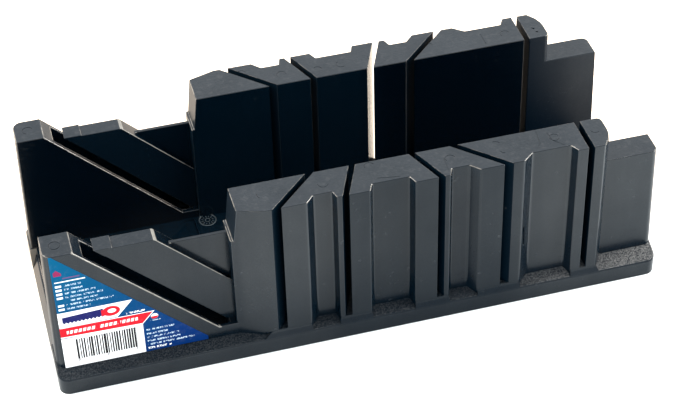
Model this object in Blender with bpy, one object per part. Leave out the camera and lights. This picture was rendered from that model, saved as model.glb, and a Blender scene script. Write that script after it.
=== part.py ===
"""Moulded mitre box for hand sawing, 300 mm long.

One injection moulding forms the whole channel: a base slab with a low flange, and two
mirror-image walls pierced by five upright saw slots and one tipped (bevel) saw slot.
A printed label sits on the outside of the front wall.

Frame: X along the length, Y across the channel (front wall at -Y), Z up, origin on the
underside at the middle of the base. Sizes are in millimetres: x from the left end, y from
the front face of the flange, z from the underside. Walls are drawn as the front one.
"""
import math

import bmesh
import bpy
from mathutils import Vector

MM = 0.001                # metres per millimetre
WELD = 1e-6               # merge distance of the final clean-up, metres
PAST = 5.0                # how far cutting shapes run past the material
ARC_STEPS = 6             # segments in every rounded corner

# ---- base -------------------------------------------------------------------------------
LENGTH = 300.0            # overall length
WIDTH = 115.0             # overall width over both flanges
MID_X, MID_Y = LENGTH / 2, WIDTH / 2
FLOOR = 13.2              # top of the work floor
FLANGE_Z0 = 8.8           # height of the flange's outer face
FLANGE_SLOPE = 0.4        # rise of the flange top towards the wall
CORNER_R = 5.0            # plan radius of the corners
# slope of the ends between the corner posts: inset x, height z
END_SLOPE = [(-0.55, -2.0), (2.5, 9.0), (3.55, 13.2), (5.25, 20.0)]
END_GAP = 0.3             # from the wall's inner plane to the sloped end
GROOVE_X0, GROOVE_X1 = 79.4, 84.6
GROOVE_DEPTH = 0.6
GROOVE_GAP = 0.8          # from each wall to the groove's end

# ---- tall section -----------------------------------------------------------------------
HEIGHT = 88.0             # top of the tall walls
WALL_Z0 = 4.0             # foot of the walls, buried in the base
RIB_Y = 1.8               # outer plane of the ribs beside each saw slot
PANEL_Y = 6.4             # outer plane of the sunk panels between the ribs
INNER_Y = 22.6            # inner plane of the tall walls
TALL_X0, TALL_X1 = 87.5, 273.0
# plan (x, y): chamfered left corner, faceted right corner
TALL_PLAN = [(TALL_X0, INNER_Y), (TALL_X0, 6.8), (103.9, RIB_Y), (267.9, RIB_Y),
             (271.2, 6.4), (272.6, 10.2), (TALL_X1, 13.4), (TALL_X1, INNER_Y)]
SHOULDER_Z = 69.6         # the left end steps in above this height
SHOULDER_X0, SHOULDER_X1 = 88.8, 90.9  # its x just above the step and at the top
# sunk panels: left and right x at the rib plane, then left and right x at the panel plane
PANELS = [(123.2, 137.5, 127.3, 136.3),
          (153.3, 175.0, 155.3, 173.3),
          (192.0, 206.6, 193.7, 202.3),
          (227.9, 254.7, 233.3, 252.3)]
PANEL_PAST = 3.0          # how far a panel's splayed cutter runs past the rib plane

# ---- right ledge, the low section right of the tall wall --------------------------------
LEDGE_X0 = 268.0          # its left end, buried in the tall section
LEDGE_Y0, LEDGE_Z, LEDGE_R = 8.7, 72.1, 3.5
LEDGE_LEAN = 1.3          # its end face leans in by this much at the top

# ---- low left section: corner post and 45 degree slope ----------------------------------
POST_Y0, POST_Y1 = 6.3, 22.1          # outer and inner plane
POST_Z = 81.2
POST_R = 4.5
POST_X0, POST_DRAFT = 0.6, 0.02       # foot of its end face, and the slope it leans in by
LOW_X1 = 92.0             # right end, buried in the tall section
LIP = 96.9                # x + z along the lower side of the bevel slot
LIP_END_Z = 17.8          # where the lower side levels out
THROAT_X0, THROAT_X1 = 20.2, 84.5     # opening down through the low section and the base
THROAT_Y0, THROAT_Y1 = 8.4, 19.5

# ---- guide block on the upper side of the bevel slot ------------------------------------
BLOCK_LO, BLOCK_HI = 102.0, 129.7     # x + z along its two slanted sides
BLOCK_Z = 76.0
BLOCK_X1 = 90.0           # right end, buried in the tall section
BLOCK_Y0, BLOCK_Y1 = 10.7, 19.1
PAD_Z0, PAD_Z1, PAD_X1 = 72.0, 76.6, 34.0
PAD_PROUD = 0.3           # the pad stands this far off both faces of the block
PAD_LO = BLOCK_LO - 0.05  # x + z along the pad's slanted side
WEB_Y0, WEB_Y1, WEB_Z = 13.9, 15.9, 69.4
WEB_X1 = 88.3             # right end, buried in the tall section
WEB_LO = BLOCK_HI - 4.0   # x + z along the web's slanted side, buried in the block

# ---- saw slots --------------------------------------------------------------------------
SLOT_HALF = 1.45          # half width
SLOT_Z = 12.4             # bottom
SLOT_RUN_IN = 1.5         # how far the slots cut into the edges of the floor
MITRE_X = 164.65          # the four mitre slots cross here, at mid width
SQUARE_X = 261.1          # centre of the 90 degree slot
# angle from square across in degrees, x at mid width; from left to right in the front wall
SLOT_LAYOUT = [(45.0, MITRE_X), (22.5, MITRE_X), (-22.5, MITRE_X), (-45.0, MITRE_X),
               (0.0, SQUARE_X)]

# ---- coring from the underside ----------------------------------------------------------
SKIN = 2.5                # skin thickness of the cored walls
ROOF = 2.8                # thickness left above the wall pockets
LAST_CORE_Y = 9.0         # the last tall pocket's right end slants inward from this y
LEDGE_CORE_X0 = TALL_X1 + 1.0
LEDGE_CORE_CHAMFER = 2.0
POST_CORE_X0 = 4.7
POST_CORE_CHAMFER = 3.0
POST_CORE_GAP = 2.6       # material between the post pocket and the throat
FLOOR_SKIN = 3.0
FLOOR_RIB = 2.2
POCKET_COLUMNS, POCKET_ROWS = 6, 2
POCKET_END = 6.0          # from the base's ends to the floor pockets
POCKET_SIDE = 0.7         # from the walls' inner planes to the floor pockets

# ---- label ------------------------------------------------------------------------------
LABEL_GAP, LABEL_T = 0.3, 0.3
# outline (x, z)
LABEL_OUTLINE = [(4.5, 11.6), (73.2, 11.6), (73.2, 13.7), (5.9, 81.0), (4.5, 81.0)]


# ---- solids -----------------------------------------------------------------------------
def to_world(x, y, z):
    return Vector(((x - MID_X) * MM, (y - MID_Y) * MM, z * MM))


def prism(corners, lift, name="tool"):
    """Closed prism. corners are (x, y, z) points of one end, lift is the vector to the other."""
    bm = bmesh.new()
    near = [bm.verts.new(to_world(*corner)) for corner in corners]
    far = [bm.verts.new(to_world(x + lift[0], y + lift[1], z + lift[2]))
           for x, y, z in corners]
    bm.faces.new(near)
    bm.faces.new(list(reversed(far)))
    for i in range(len(near)):
        j = (i + 1) % len(near)
        bm.faces.new((near[j], near[i], far[i], far[j]))
    bmesh.ops.recalc_face_normals(bm, faces=bm.faces)
    mesh = bpy.data.meshes.new(name)
    bm.to_mesh(mesh)
    bm.free()
    obj = bpy.data.objects.new(name, mesh)
    bpy.context.scene.collection.objects.link(obj)
    return obj


def upright(plan, z0, z1, name="tool"):
    """Prism standing on a plan of (x, y) points."""
    return prism([(x, y, z0) for x, y in plan], (0, 0, z1 - z0), name)


def across(side, y0, y1, name="tool"):
    """Prism running across the channel from a side view of (x, z) points."""
    return prism([(x, y0, z) for x, z in side], (0, y1 - y0, 0), name)


def lengthwise(section, x0, x1, name="tool"):
    """Prism running along the channel from a section of (y, z) points."""
    return prism([(x0, y, z) for y, z in section], (x1 - x0, 0, 0), name)


def box(x0, x1, y0, y1, z0, z1):
    return upright([(x0, y0), (x1, y0), (x1, y1), (x0, y1)], z0, z1)


def combine(target, tool, operation):
    """One exact Boolean, applied; the tool is used up."""
    modifier = target.modifiers.new(operation.lower(), "BOOLEAN")
    modifier.operation = operation
    modifier.solver = "EXACT"
    modifier.object = tool
    bpy.context.view_layer.update()
    result = bpy.data.meshes.new_from_object(
        target.evaluated_get(bpy.context.evaluated_depsgraph_get()))
    target.modifiers.clear()
    target.data = result
    bpy.data.objects.remove(tool, do_unlink=True)


def add(target, tool):
    combine(target, tool, "UNION")


def cut(target, tool):
    combine(target, tool, "DIFFERENCE")


def keep(target, tool):
    combine(target, tool, "INTERSECT")


# ---- plan geometry ----------------------------------------------------------------------
def arc(centre_x, centre_y, radius, start):
    """Points of a quarter turn, anticlockwise from the start angle in degrees."""
    angles = [math.radians(start + 90 * i / ARC_STEPS) for i in range(ARC_STEPS + 1)]
    return [(centre_x + radius * math.cos(a), centre_y + radius * math.sin(a))
            for a in angles]


def mirror_plan(plan):
    """The same plan on the back wall."""
    return [(x, WIDTH - y) for x, y in reversed(plan)]


def clip(plan, normal_x, normal_y, limit):
    """Keep the part of a convex plan where normal_x * x + normal_y * y <= limit."""
    kept = []
    for i, (x, y) in enumerate(plan):
        next_x, next_y = plan[(i + 1) % len(plan)]
        over = normal_x * x + normal_y * y - limit
        next_over = normal_x * next_x + normal_y * next_y - limit
        if over <= 0:
            kept.append((x, y))
        if (over < 0 < next_over) or (next_over < 0 < over):
            t = over / (over - next_over)
            kept.append((x + t * (next_x - x), y + t * (next_y - y)))
    return kept


def slot_line(angle, centre_x):
    """Unit normal (pointing right) and offset of a saw slot's centre line in plan."""
    turn = math.radians(angle)
    normal_x, normal_y = math.cos(turn), -math.sin(turn)
    return normal_x, normal_y, normal_x * centre_x + normal_y * MID_Y


SLOTS = [slot_line(angle, centre_x) for angle, centre_x in SLOT_LAYOUT]


# ---- base -------------------------------------------------------------------------------
def make_base():
    reach = (FLOOR - FLANGE_Z0) / FLANGE_SLOPE
    base = lengthwise([(0, 0), (WIDTH, 0), (WIDTH, FLANGE_Z0), (WIDTH - reach, FLOOR),
                       (reach, FLOOR), (0, FLANGE_Z0)],
                      -PAST, LENGTH + PAST, "moulded_box")
    r = CORNER_R
    keep(base, upright(arc(r, r, r, 180) + arc(LENGTH - r, r, r, 270)
                       + arc(LENGTH - r, WIDTH - r, r, 0) + arc(r, WIDTH - r, r, 90),
                       -PAST, FLOOR + PAST))
    left = [(-PAST, END_SLOPE[0][1])] + END_SLOPE + [(-PAST, END_SLOPE[-1][1])]
    right = [(LENGTH - x, z) for x, z in reversed(left)]
    for side, inner_plane in ((left, POST_Y1), (right, INNER_Y)):
        edge = inner_plane + END_GAP
        cut(base, across(side, edge, WIDTH - edge))
    for y0, y1 in ((THROAT_Y0, THROAT_Y1), (WIDTH - THROAT_Y1, WIDTH - THROAT_Y0)):
        cut(base, box(THROAT_X0, THROAT_X1, y0, y1, -PAST, FLOOR + PAST))
    return base


# ---- walls ------------------------------------------------------------------------------
def cut_shoulder(wall):
    # the slanted side is carried half its height again past the top
    top_x = SHOULDER_X0 + 1.5 * (SHOULDER_X1 - SHOULDER_X0)
    top_z = SHOULDER_Z + 1.5 * (HEIGHT - SHOULDER_Z)
    left = TALL_X0 - PAST
    cut(wall, across([(left, SHOULDER_Z), (SHOULDER_X0, SHOULDER_Z),
                      (top_x, top_z), (left, top_z)], -PAST, INNER_Y + PAST))


def add_ledge(wall):
    plan = ([(LEDGE_X0, INNER_Y), (LEDGE_X0, LEDGE_Y0)]
            + arc(LENGTH - LEDGE_R, LEDGE_Y0 + LEDGE_R, LEDGE_R, -90)
            + [(LENGTH, INNER_Y)])
    add(wall, prism([(x, y, WALL_Z0) for x, y in plan], (-LEDGE_LEAN, 0, LEDGE_Z - WALL_Z0)))


def cut_panels(wall):
    """Sunk panels, open at the top, with splayed sides."""
    k = PANEL_PAST / (PANEL_Y - RIB_Y)
    for rib_x0, rib_x1, panel_x0, panel_x1 in PANELS:
        plan = [(panel_x0, PANEL_Y),
                (rib_x0 - (panel_x0 - rib_x0) * k, RIB_Y - PANEL_PAST),
                (rib_x1 + (rib_x1 - panel_x1) * k, RIB_Y - PANEL_PAST),
                (panel_x1, PANEL_Y)]
        cut(wall, upright(plan, WALL_Z0 - PAST, HEIGHT + PAST))


def make_low_section():
    low = across([(-PAST, WALL_Z0), (-PAST, POST_Z), (LIP - POST_Z, POST_Z),
                  (LIP - LIP_END_Z, LIP_END_Z), (LOW_X1, LIP_END_Z), (LOW_X1, WALL_Z0)],
                 POST_Y0, POST_Y1)
    # rounded outer corner and leaning end face
    plan = (arc(POST_R, POST_Y0 + POST_R, POST_R, 180)
            + [(LENGTH, POST_Y0), (LENGTH, MID_Y), (0, MID_Y)])
    keep(low, prism([(x + POST_X0, y, 0.0) for x, y in plan],
                    (POST_DRAFT * HEIGHT, 0, HEIGHT)))
    cut(low, box(THROAT_X0, THROAT_X1, THROAT_Y0, THROAT_Y1, -PAST, HEIGHT + PAST))
    return low


def add_guide_block(wall):
    """Upper guide block, the raised pad at its top and the thin web to the tall section."""
    add(wall, across([(BLOCK_LO - BLOCK_Z, BLOCK_Z), (BLOCK_HI - BLOCK_Z, BLOCK_Z),
                      (BLOCK_X1, BLOCK_HI - BLOCK_X1), (BLOCK_X1, BLOCK_LO - BLOCK_X1)],
                     BLOCK_Y0, BLOCK_Y1))
    add(wall, across([(PAD_LO - PAD_Z1, PAD_Z1), (PAD_X1, PAD_Z1), (PAD_X1, PAD_Z0),
                      (PAD_LO - PAD_Z0, PAD_Z0)],
                     BLOCK_Y0 - PAD_PROUD, BLOCK_Y1 + PAD_PROUD))
    add(wall, across([(WEB_LO - WEB_Z, WEB_Z), (WEB_X1, WEB_Z), (WEB_X1, WEB_LO - WEB_X1)],
                     WEB_Y0, WEB_Y1))


def make_wall():
    wall = upright(TALL_PLAN, WALL_Z0, HEIGHT)
    cut_shoulder(wall)
    add_ledge(wall)
    cut_panels(wall)
    add(wall, make_low_section())
    add_guide_block(wall)
    return wall


def mirror_wall(wall):
    bm = bmesh.new()
    bm.from_mesh(wall.data)
    for vert in bm.verts:
        vert.co.y = -vert.co.y
    bmesh.ops.reverse_faces(bm, faces=bm.faces)
    bm.to_mesh(wall.data)
    bm.free()


# ---- cuts through the joined body -------------------------------------------------------
def cut_slots(body):
    reach = INNER_Y + SLOT_RUN_IN
    for normal_x, normal_y, offset in SLOTS:
        for y0, y1 in ((-PAST, reach), (WIDTH - reach, WIDTH + PAST)):
            plan = [((offset + side * SLOT_HALF - normal_y * y) / normal_x, y)
                    for side, y in ((-1, y0), (1, y0), (1, y1), (-1, y1))]
            cut(body, upright(plan, SLOT_Z, HEIGHT + PAST))


def cut_groove(body):
    """Shallow groove across the floor where the tipped blade lands."""
    edge = INNER_Y + GROOVE_GAP
    cut(body, box(GROOVE_X0, GROOVE_X1, edge, WIDTH - edge, FLOOR - GROOVE_DEPTH, FLOOR + PAST))


def tall_core_plans():
    """One pocket plan on each side of every slot, leaving a skin beside the slots."""
    clear = SLOT_HALF + SKIN
    y0, y1 = PANEL_Y + SKIN, INNER_Y - SKIN
    plans = []
    for left, right in zip([None] + SLOTS, SLOTS + [None]):
        x0 = 0.0 if left else SHOULDER_X1 + SKIN
        x1 = LENGTH if right else TALL_X1 - SKIN
        plan = [(x0, y0), (x1, y0), (x1, y1), (x0, y1)]
        if left:
            plan = clip(plan, -left[0], -left[1], -(left[2] + clear))
        if right:
            plan = clip(plan, right[0], right[1], right[2] - clear)
        else:
            plan = clip(plan, 1.0, 1.0, x1 + LAST_CORE_Y)
        plans.append(plan)
    return plans


def ledge_core_plan():
    x1 = LENGTH - SKIN - LEDGE_LEAN
    y0, y1 = LEDGE_Y0 + SKIN, INNER_Y - SKIN
    return [(LEDGE_CORE_X0, y0), (x1 - LEDGE_CORE_CHAMFER, y0), (x1, y0 + LEDGE_CORE_CHAMFER),
            (x1, y1), (LEDGE_CORE_X0, y1)]


def post_core_plan():
    x0, x1 = POST_CORE_X0, THROAT_X0 - POST_CORE_GAP
    return [(x0, THROAT_Y0 + POST_CORE_CHAMFER), (x0 + POST_CORE_CHAMFER, THROAT_Y0),
            (x1, THROAT_Y0), (x1, THROAT_Y1), (x0, THROAT_Y1)]


def core_walls(body):
    """Pockets open at the underside of both walls."""
    cores = [(plan, HEIGHT) for plan in tall_core_plans()]
    cores += [(ledge_core_plan(), LEDGE_Z), (post_core_plan(), POST_Z)]
    for mirrored in (False, True):
        for plan, top in cores:
            cut(body, upright(mirror_plan(plan) if mirrored else plan, -PAST, top - ROOF))


def core_floor(body):
    """Grid of pockets between stiffening ribs under the floor."""
    x0, y0 = POCKET_END, INNER_Y + POCKET_SIDE
    size_x = (LENGTH - 2 * x0 - (POCKET_COLUMNS - 1) * FLOOR_RIB) / POCKET_COLUMNS
    size_y = (WIDTH - 2 * y0 - (POCKET_ROWS - 1) * FLOOR_RIB) / POCKET_ROWS
    for i in range(POCKET_COLUMNS):
        for j in range(POCKET_ROWS):
            x = x0 + i * (size_x + FLOOR_RIB)
            y = y0 + j * (size_y + FLOOR_RIB)
            cut(body, box(x, x + size_x, y, y + size_y, -PAST, FLOOR - FLOOR_SKIN))


def clean_mesh(body):
    bm = bmesh.new()
    bm.from_mesh(body.data)
    bmesh.ops.remove_doubles(bm, verts=bm.verts, dist=WELD)
    bmesh.ops.dissolve_degenerate(bm, edges=bm.edges, dist=WELD)
    bmesh.ops.recalc_face_normals(bm, faces=bm.faces)
    bm.to_mesh(body.data)
    bm.free()


def make_body():
    body = make_base()
    front = make_wall()
    back = make_wall()
    mirror_wall(back)
    add(body, front)
    add(body, back)
    cut_slots(body)
    cut_groove(body)
    core_walls(body)
    core_floor(body)
    clean_mesh(body)
    return body


def make_label():
    back_y = POST_Y0 - LABEL_GAP
    return across(LABEL_OUTLINE, back_y - LABEL_T, back_y, "front_label")


def set_material(obj, name, colour, roughness):
    material = bpy.data.materials.new(name)
    material.use_nodes = True
    shader = material.node_tree.nodes["Principled BSDF"]
    shader.inputs["Base Color"].default_value = (*colour, 1.0)
    shader.inputs["Roughness"].default_value = roughness
    shader.inputs["Metallic"].default_value = 0.0
    obj.data.materials.clear()
    obj.data.materials.append(material)


for old in list(bpy.data.objects):
    bpy.data.objects.remove(old, do_unlink=True)

set_material(make_body(), "charcoal_plastic", colour=(0.055, 0.06, 0.064), roughness=0.45)
set_material(make_label(), "printed_film", colour=(0.02, 0.16, 0.42), roughness=0.3)
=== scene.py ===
"""Looks of a mitre box: a hollow moulding with two slotted walls, and its printed label.

The box lies lengthwise along x on the floor, with its channel between a front and a back wall.
Sizes are in millimetres from the left end (x), from the front of the flange (y) and from the
underside (z); place() turns them into metres about the middle of the plan.
"""

import math
from contextlib import contextmanager
from functools import cached_property

import bmesh
import bpy
from mathutils import Matrix, Vector


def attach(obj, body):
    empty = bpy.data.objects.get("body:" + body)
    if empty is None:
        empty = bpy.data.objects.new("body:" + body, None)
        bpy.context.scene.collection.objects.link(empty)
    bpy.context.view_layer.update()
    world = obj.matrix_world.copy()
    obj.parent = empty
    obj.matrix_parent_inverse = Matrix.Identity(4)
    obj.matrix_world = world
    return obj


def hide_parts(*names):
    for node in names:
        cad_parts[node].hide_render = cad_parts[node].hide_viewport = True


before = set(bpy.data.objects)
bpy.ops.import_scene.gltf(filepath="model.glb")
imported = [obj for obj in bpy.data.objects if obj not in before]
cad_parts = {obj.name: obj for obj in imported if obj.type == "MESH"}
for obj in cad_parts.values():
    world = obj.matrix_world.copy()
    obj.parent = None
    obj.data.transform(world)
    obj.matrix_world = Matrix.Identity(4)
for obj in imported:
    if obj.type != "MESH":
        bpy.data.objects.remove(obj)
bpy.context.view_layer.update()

MM = 0.001
LENGTH, WIDTH, HEIGHT = 300.0, 115.0, 88.0
CENTRE_X, CENTRE_Y = LENGTH / 2, WIDTH / 2

# base
FLOOR = 13.2            # top of the channel floor
FLANGE_Z0 = 8.8         # outer edge of the flange
FLANGE_SLOPE = 0.4
CORNER_R = 5.0
# x, z up the sloping end between the posts, with a fine step half way
END_SLOPE = ((-0.55, -2.0), (2.5, 9.0), (2.95, 9.15), (3.55, 13.2), (5.25, 20.0))
END_MARGIN = 0.3
GROOVE_X0, GROOVE_X1, GROOVE_DEPTH, GROOVE_INSET = 79.4, 84.6, 0.6, 0.8

# tall wall: ribs stand out in front of recessed panels
RIB_Y, PANEL_Y, INNER_Y = 1.8, 6.4, 22.6
WALL_Z0 = 3.0
TALL_X0, TALL_X1 = 87.5, 273.0
TALL_END_R = 2.6
SHOULDER_Z = 69.6
SHOULDER_X = (88.8, 90.9)   # the shoulder's slope, at SHOULDER_Z and at the top
# recesses between ribs: opening from and to, panel from and to (x)
PANELS = ((123.2, 137.5, 127.3, 136.3), (153.3, 175.0, 155.3, 173.3),
          (192.0, 206.6, 193.7, 202.3), (227.9, 254.7, 233.3, 252.3))
# runs at the ribs' feet: x from and to, then how far each end spreads
ROOT_FILLETS = ((104.3, 123.0, 6.5, 0.8), (137.7, 153.1, 0.8, 0.8), (175.2, 191.8, 0.8, 0.8),
                (206.8, 227.7, 0.8, 0.8), (254.9, 267.6, 0.8, 2.6))

# saw slots
SLOT_Z = 12.4
SLOT_HALF = 1.45
MITRE_X, SQUARE_X = 164.65, 261.1   # where the slots cross the middle of the channel
CLEARANCE = 0.04
# y from and to, half width: relieved where the wall comes down into the base
SLOT_CUTS = ((-6.0, 12.6, SLOT_HALF + CLEARANCE), (12.3, INNER_Y - 0.4, SLOT_HALF + 1.4),
             (INNER_Y - 1.2, INNER_Y + 1.5, SLOT_HALF + CLEARANCE))

# left post and what joins it to the tall wall; a SUM is x + z along a 45 degree edge
POST_Y0, POST_Y1, POST_Z, POST_R = 6.3, 22.1, 81.2, 4.5
POST_X0, POST_DRAFT = 0.6, 0.02
POST_SUM, POST_LOW_Z, POST_X1 = 96.9, 17.8, 92.0
DRAFT_HEIGHT = 120
THROAT_X0, THROAT_X1, THROAT_Y0, THROAT_Y1 = 20.2, 84.5, 8.4, 19.5
BLOCK_SUM_LOW, BLOCK_SUM_HIGH = 102.0, 129.7
BLOCK_Z, BLOCK_X1, BLOCK_Y0, BLOCK_Y1 = 76.0, 90.0, 10.7, 19.1
PAD_SUM = BLOCK_SUM_LOW - 0.05
PAD_Z0, PAD_Z1, PAD_X1, PAD_OVERHANG = 72.0, 76.6, 34.0, 0.3
WEB_Y0, WEB_Y1, WEB_Z, WEB_X1 = 13.9, 15.9, 69.4, 88.3
WEB_SUM = BLOCK_SUM_HIGH - 4

# right ledge
LEDGE_X0, LEDGE_Y0, LEDGE_Z0, LEDGE_Z, LEDGE_R, LEDGE_LEAN = 268.0, 8.7, 4.0, 72.1, 3.5, 1.3

# hollows
SKIN, ROOF = 2.5, 2.8
POCKET_COLS, POCKET_ROWS, POCKET_RIB = 6, 2, 2.2
POCKET_END, POCKET_SIDE, POCKET_ROOF = 6.0, 0.7, 3.0
BELOW = -5.0            # where cutters start, under the box


# ------------------------------------------------------------------ mesh helpers
def place(x, y, z):
    return Vector(((x - CENTRE_X) * MM, (y - CENTRE_Y) * MM, z * MM))


BODY_MAT = bpy.data.materials.new("charcoal_plastic")
EDGE_MAT = bpy.data.materials.new("charcoal_plastic_edges")


@contextmanager
def editing(mesh):
    """The mesh as a bmesh, written back at the end."""
    bm = bmesh.new()
    bm.from_mesh(mesh)
    yield bm
    bm.to_mesh(mesh)
    bm.free()


def link(name, mesh):
    if not mesh.materials:
        mesh.materials.append(BODY_MAT)
        mesh.materials.append(EDGE_MAT)
    obj = bpy.data.objects.new(name, mesh)
    bpy.context.scene.collection.objects.link(obj)
    return obj


def from_bmesh(name, bm):
    bmesh.ops.recalc_face_normals(bm, faces=bm.faces)
    mesh = bpy.data.meshes.new(name)
    bm.to_mesh(mesh)
    bm.free()
    return link(name, mesh)


def loft(name, low, high):
    """Closed solid between two rings of (x, y, z) points."""
    bm = bmesh.new()
    bottom = [bm.verts.new(place(*p)) for p in low]
    top = [bm.verts.new(place(*p)) for p in high]
    bm.faces.new(bottom)
    bm.faces.new(list(reversed(top)))
    for i in range(len(bottom)):
        j = (i + 1) % len(bottom)
        bm.faces.new((bottom[j], bottom[i], top[i], top[j]))
    return from_bmesh(name, bm)


def prism(name, ring, shift):
    dx, dy, dz = shift
    return loft(name, ring, [(x + dx, y + dy, z + dz) for x, y, z in ring])


def upright(name, plan, z0, z1):
    return prism(name, [(x, y, z0) for x, y in plan], (0, 0, z1 - z0))


def across(name, side, y0, y1):
    return prism(name, [(x, y0, z) for x, z in side], (0, y1 - y0, 0))


def lengthwise(name, section, x0, x1):
    return prism(name, [(x0, y, z) for y, z in section], (x1 - x0, 0, 0))


def box(name, x0, x1, y0, y1, z0, z1):
    return upright(name, [(x0, y0), (x1, y0), (x1, y1), (x0, y1)], z0, z1)


def arc(x, y, radius, start, end, steps):
    angles = [math.radians(start + (end - start) * i / steps) for i in range(steps + 1)]
    return [(x + radius * math.cos(a), y + radius * math.sin(a)) for a in angles]


def baked(obj):
    """The object with its modifiers applied."""
    bpy.context.view_layer.update()
    depsgraph = bpy.context.evaluated_depsgraph_get()
    mesh = bpy.data.meshes.new_from_object(obj.evaluated_get(depsgraph))
    obj.modifiers.clear()
    old = obj.data
    obj.data = mesh
    bpy.data.meshes.remove(old)
    return obj


def combine(target, tool, operation):
    """Boolean that uses up the tool."""
    boolean = target.modifiers.new("b", "BOOLEAN")
    boolean.operation = operation
    boolean.solver = "EXACT"
    boolean.object = tool
    baked(target)
    bpy.data.objects.remove(tool, do_unlink=True)


def add(target, tool):
    combine(target, tool, "UNION")


def cut(target, tool):
    combine(target, tool, "DIFFERENCE")


def keep(target, tool):
    combine(target, tool, "INTERSECT")


def mirrored(obj):
    """Copy on the other side of the channel."""
    mesh = obj.data.copy()
    with editing(mesh) as bm:
        for v in bm.verts:
            v.co.y = -v.co.y
        bmesh.ops.reverse_faces(bm, faces=bm.faces)
    return link(obj.name + "_m", mesh)


def add_both(target, tool):
    add(target, mirrored(tool))
    add(target, tool)


def clean(obj):
    with editing(obj.data) as bm:
        bmesh.ops.remove_doubles(bm, verts=bm.verts, dist=2e-6)
        bmesh.ops.dissolve_degenerate(bm, edges=bm.edges, dist=2e-6)
        bmesh.ops.dissolve_limit(bm, angle_limit=math.radians(0.4), verts=bm.verts, edges=bm.edges)
        bmesh.ops.recalc_face_normals(bm, faces=bm.faces)


def tidy(obj):
    """Merges points that the joins left on top of each other and closes the faces they dropped."""
    with editing(obj.data) as bm:
        bmesh.ops.remove_doubles(bm, verts=bm.verts, dist=1e-6)
        loose = [e for e in bm.edges if not e.link_faces]
        bmesh.ops.delete(bm, geom=loose, context="EDGES")
        rims = [e for e in bm.edges if len(e.link_faces) == 1]
        bmesh.ops.holes_fill(bm, edges=rims, sides=0)
        bmesh.ops.recalc_face_normals(bm, faces=bm.faces)


MAX_RADIUS = 2.0
SHARP_ANGLE = 17        # degrees; flatter edges stay as they are


def soften(obj, rule):
    """Rounds the edges of a solid. rule(mid, along, convex) gives each edge's radius."""
    clean(obj)
    with editing(obj.data) as bm:
        weight = bm.edges.layers.float.new("bevel_weight_edge")
        for e in bm.edges:
            if len(e.link_faces) != 2:
                continue
            if math.degrees(e.calc_face_angle(0.0)) < SHARP_ANGLE:
                continue
            a, b = e.verts[0].co / MM, e.verts[1].co / MM
            mid = (a + b) / 2 + Vector((CENTRE_X, CENTRE_Y, 0))
            radius = rule(mid, (b - a).normalized(), e.is_convex)
            e[weight] = max(0.0, min(1.0, radius / MAX_RADIUS))
    bevel = obj.modifiers.new("round", "BEVEL")
    bevel.limit_method = "WEIGHT"
    bevel.offset_type = "OFFSET"
    bevel.width = MAX_RADIUS * MM
    bevel.segments = 3
    bevel.use_clamp_overlap = True
    bevel.miter_outer = "MITER_SHARP"
    bevel.material = 1
    return baked(obj)


def even(radius):
    return lambda mid, along, convex: radius


# ------------------------------------------------------------------ saw slots
def slot_line(angle, x):
    """Unit normal (nx, ny) and offset of a slot that crosses the middle at x."""
    a = math.radians(angle)
    nx, ny = math.cos(a), -math.sin(a)
    return nx, ny, nx * x + ny * CENTRE_Y


SLOTS = [slot_line(a, MITRE_X) for a in (45.0, 22.5, -22.5, -45.0)] + [slot_line(0.0, SQUARE_X)]


def slot_x(i, side, y, half=SLOT_HALF):
    """Where a slot's left (-1) or right (1) side lies at depth y."""
    nx, ny, offset = SLOTS[i]
    return (offset + side * half - ny * y) / nx


def slot_plan(i, y0, y1, half):
    return [(slot_x(i, side, y, half), y) for side, y in ((-1, y0), (1, y0), (1, y1), (-1, y1))]


# ------------------------------------------------------------------ tall wall
def wall_radius(mid, along, convex):
    if mid.z < 10:
        return 0.0
    gap = min(abs(nx * mid.x + ny * mid.y - offset) for nx, ny, offset in SLOTS)
    at_slot = gap < SLOT_HALF + 0.1
    if abs(along.z) > 0.95:
        if not convex:
            return 0.9
        if at_slot:
            return 0.45 if mid.y < 15 else 0.25
        return 0.75 if mid.y < 15 else 0.4
    return 0.16 if at_slot else 0.45


def left_segment():
    """Wall left of the first slot, with its upper left corner sloped off."""
    plan = [(TALL_X0, INNER_Y), (TALL_X0, 6.8), (103.9, RIB_Y),
            (slot_x(0, -1, RIB_Y), RIB_Y), (slot_x(0, -1, INNER_Y), INNER_Y)]
    wall = upright("seg", plan, WALL_Z0, HEIGHT)
    outer_x = TALL_X0 - 8
    slope_x = SHOULDER_X[0] + 1.5 * (SHOULDER_X[1] - SHOULDER_X[0])
    slope_z = SHOULDER_Z + 1.5 * (HEIGHT - SHOULDER_Z)
    side = [(outer_x, SHOULDER_Z), (SHOULDER_X[0], SHOULDER_Z),
            (slope_x, slope_z), (outer_x, slope_z)]
    cut(wall, across("t", side, -5, 40))
    return wall


def panel_segment(i):
    """Wall between slots i and i + 1: two ribs with a panel between them."""
    open_x0, open_x1, panel_x0, panel_x1 = PANELS[i]
    plan = [(slot_x(i, 1, INNER_Y), INNER_Y), (slot_x(i, 1, RIB_Y), RIB_Y),
            (open_x0, RIB_Y), (panel_x0, PANEL_Y), (panel_x1, PANEL_Y), (open_x1, RIB_Y),
            (slot_x(i + 1, -1, RIB_Y), RIB_Y), (slot_x(i + 1, -1, INNER_Y), INNER_Y)]
    return upright("seg", plan, WALL_Z0, HEIGHT)


def right_segment():
    r = TALL_END_R
    plan = [(slot_x(4, 1, INNER_Y), INNER_Y), (slot_x(4, 1, RIB_Y), RIB_Y),
            (267.9, RIB_Y), (271.2, 6.4), (272.6, 10.2), (TALL_X1, 13.4)]
    return upright("seg", plan + arc(TALL_X1 - r, INNER_Y - r, r, 0, 90, 6), WALL_Z0, HEIGHT)


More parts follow.
